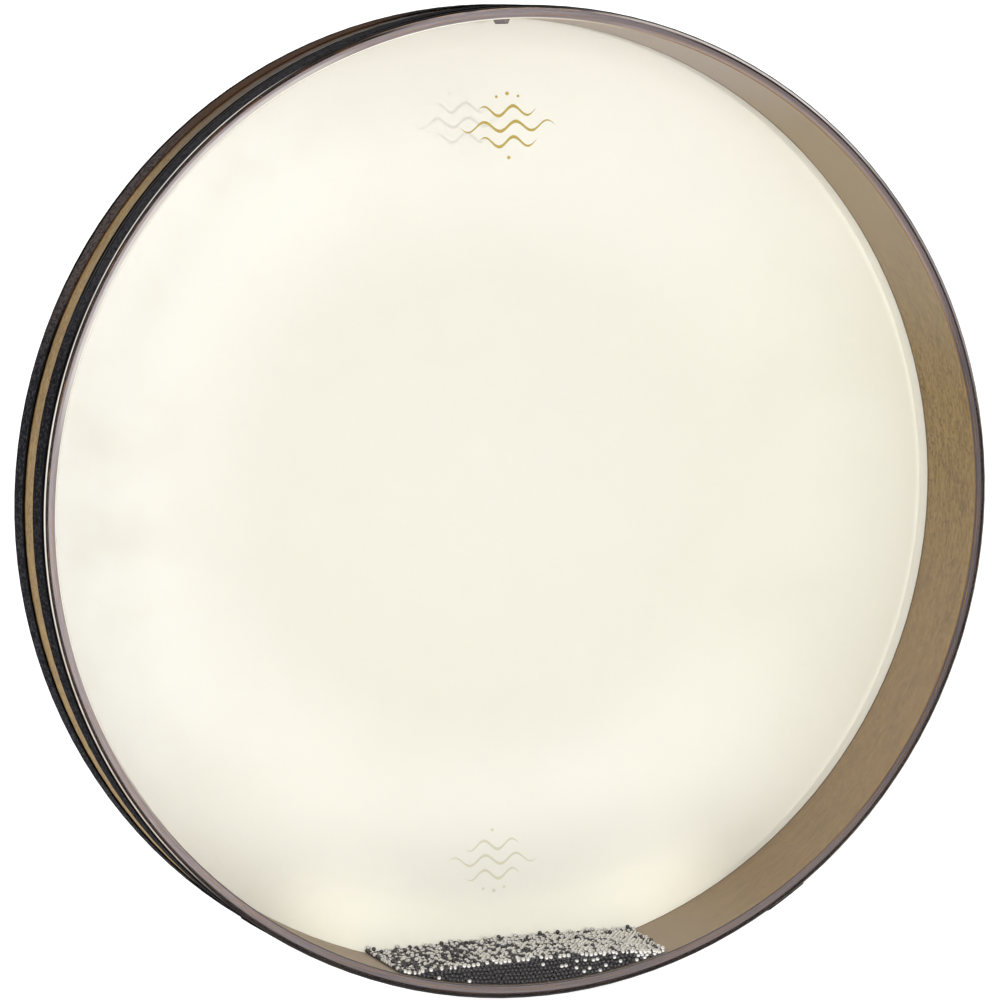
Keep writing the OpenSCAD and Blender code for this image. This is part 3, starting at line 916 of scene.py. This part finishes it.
def stage_floor():
    n = Nodes("stage_paper").place()
    grain = n.noise(n.point, 0.004, 3.0, 0.5)
    color = n.mix(grain, "#b4b4b3", "#bcbcbb")
    paper = n.finish(n.principled(color=color, rough=0.9, specular=0.0,
                                  glow=(1, 1, 1, 1), glow_strength=0.95))
    rows = [(FLOOR_FRONT, FLOOR_Z), (BACKDROP_FOOT, FLOOR_Z)]
    for i in range(1, BACKDROP_STEPS + 1):
        a = math.pi / 2 * i / BACKDROP_STEPS
        rows.append((BACKDROP_FOOT + BACKDROP_CURVE * math.sin(a),
                     FLOOR_Z + BACKDROP_CURVE * (1 - math.cos(a))))
    rows.append((BACKDROP_FOOT + BACKDROP_CURVE, BACKDROP_TOP))
    vertices = [(x, y, z) for y, z in rows for x in (-STAGE_HALF, STAGE_HALF)]
    faces = [(2 * i, 2 * i + 1, 2 * i + 3, 2 * i + 2) for i in range(len(rows) - 1)]
    mesh = bpy.data.meshes.new("stage_floor")
    mesh.from_pydata(vertices, [], faces)
    mesh.polygons.foreach_set("use_smooth", [True] * len(faces))
    made = bpy.data.objects.new("stage_floor", mesh)
    bpy.context.scene.collection.objects.link(made)
    mesh.materials.append(paper)


stage_floor()

# ---- where the photo was taken from ----
# the camera's angles round the drum, its distance in metres and its lens in mm, fitted to the drum's outline
AZIMUTH, ELEVATION, ROLL = math.radians(-18.901), math.radians(6.374), math.radians(-1.450)
DISTANCE = 2.9233
LENS = 185.398
SENSOR = 36
SHIFT_X = -0.00965
SHIFT_Y = 0.00029
FAR_CLIP = 50
back = Vector((math.sin(AZIMUTH) * math.cos(ELEVATION), -math.cos(AZIMUTH) * math.cos(ELEVATION),
               math.sin(ELEVATION)))

# ---- light ----
SKY_STRENGTH = 0.31
SKY_DIM = 0.25  # the share of it that is left behind the camera, where the film mirrors it

world = bpy.data.worlds.new("studio")
bpy.context.scene.world = world
world.use_nodes = True
w = Nodes("studio", world.node_tree)
ray = w.add("ShaderNodeTexCoord").outputs["Generated"]
toward = w.add("ShaderNodeVectorMath", {0: ray, 1: tuple(back)}, operation="DOT_PRODUCT").outputs["Value"]
dim = w.span(toward, 0.86, 0.97, 1.0, SKY_DIM)
sky = w.add("ShaderNodeBackground", {"Color": (1.0, 0.995, 0.985, 1), "Strength": w.times(dim, SKY_STRENGTH)})
w.add("ShaderNodeOutputWorld", {"Surface": sky.outputs[0]})


def lamp(name, kind, place, target, **settings):
    """A light at this place that shines at the target, both in metres."""
    data = bpy.data.lights.new(name, kind)
    for key, value in settings.items():
        setattr(data, key, value)
    made = bpy.data.objects.new(name, data)
    bpy.context.scene.collection.objects.link(made)
    made.location = place
    made.rotation_euler = (Vector(target) - Vector(place)).to_track_quat("-Z", "Y").to_euler()


lamp("key_left", "AREA", (-2.2, -2.7, 1.4), (0, 0, 0), shape="RECTANGLE", size=1.6, size_y=1.6, energy=20)
lamp("fill_front", "AREA", (-0.15, -3.4, 0.6), (0, 0, 0), shape="RECTANGLE", size=1.2, size_y=1.2, energy=29)
lamp("hard_right", "SUN", (0.075, -1.0, -0.005), (0, 0, 0), energy=0.7, angle=math.radians(0.5))
lamp("low_fill", "SPOT", (-0.3, -3.2, 0.35), (0, 0.03, -0.27), energy=34, spot_size=math.radians(12),
     spot_blend=1.0, shadow_soft_size=0.25)

# ---- camera ----
right = Vector((math.cos(AZIMUTH), math.sin(AZIMUTH), 0))
up = back.cross(right)
across = right * math.cos(ROLL) + up * math.sin(ROLL)
upward = up * math.cos(ROLL) - right * math.sin(ROLL)
turn = Matrix((across, upward, back)).transposed().to_4x4()
camera = bpy.data.objects.new("camera", bpy.data.cameras.new("camera"))
bpy.context.scene.collection.objects.link(camera)
camera.matrix_world = Matrix.Translation(back * DISTANCE) @ turn
camera.data.lens = LENS
camera.data.sensor_width = SENSOR
camera.data.shift_x = SHIFT_X
camera.data.shift_y = SHIFT_Y
camera.data.clip_end = FAR_CLIP
bpy.context.scene.camera = camera
bpy.context.scene.view_settings.view_transform = "Standard"
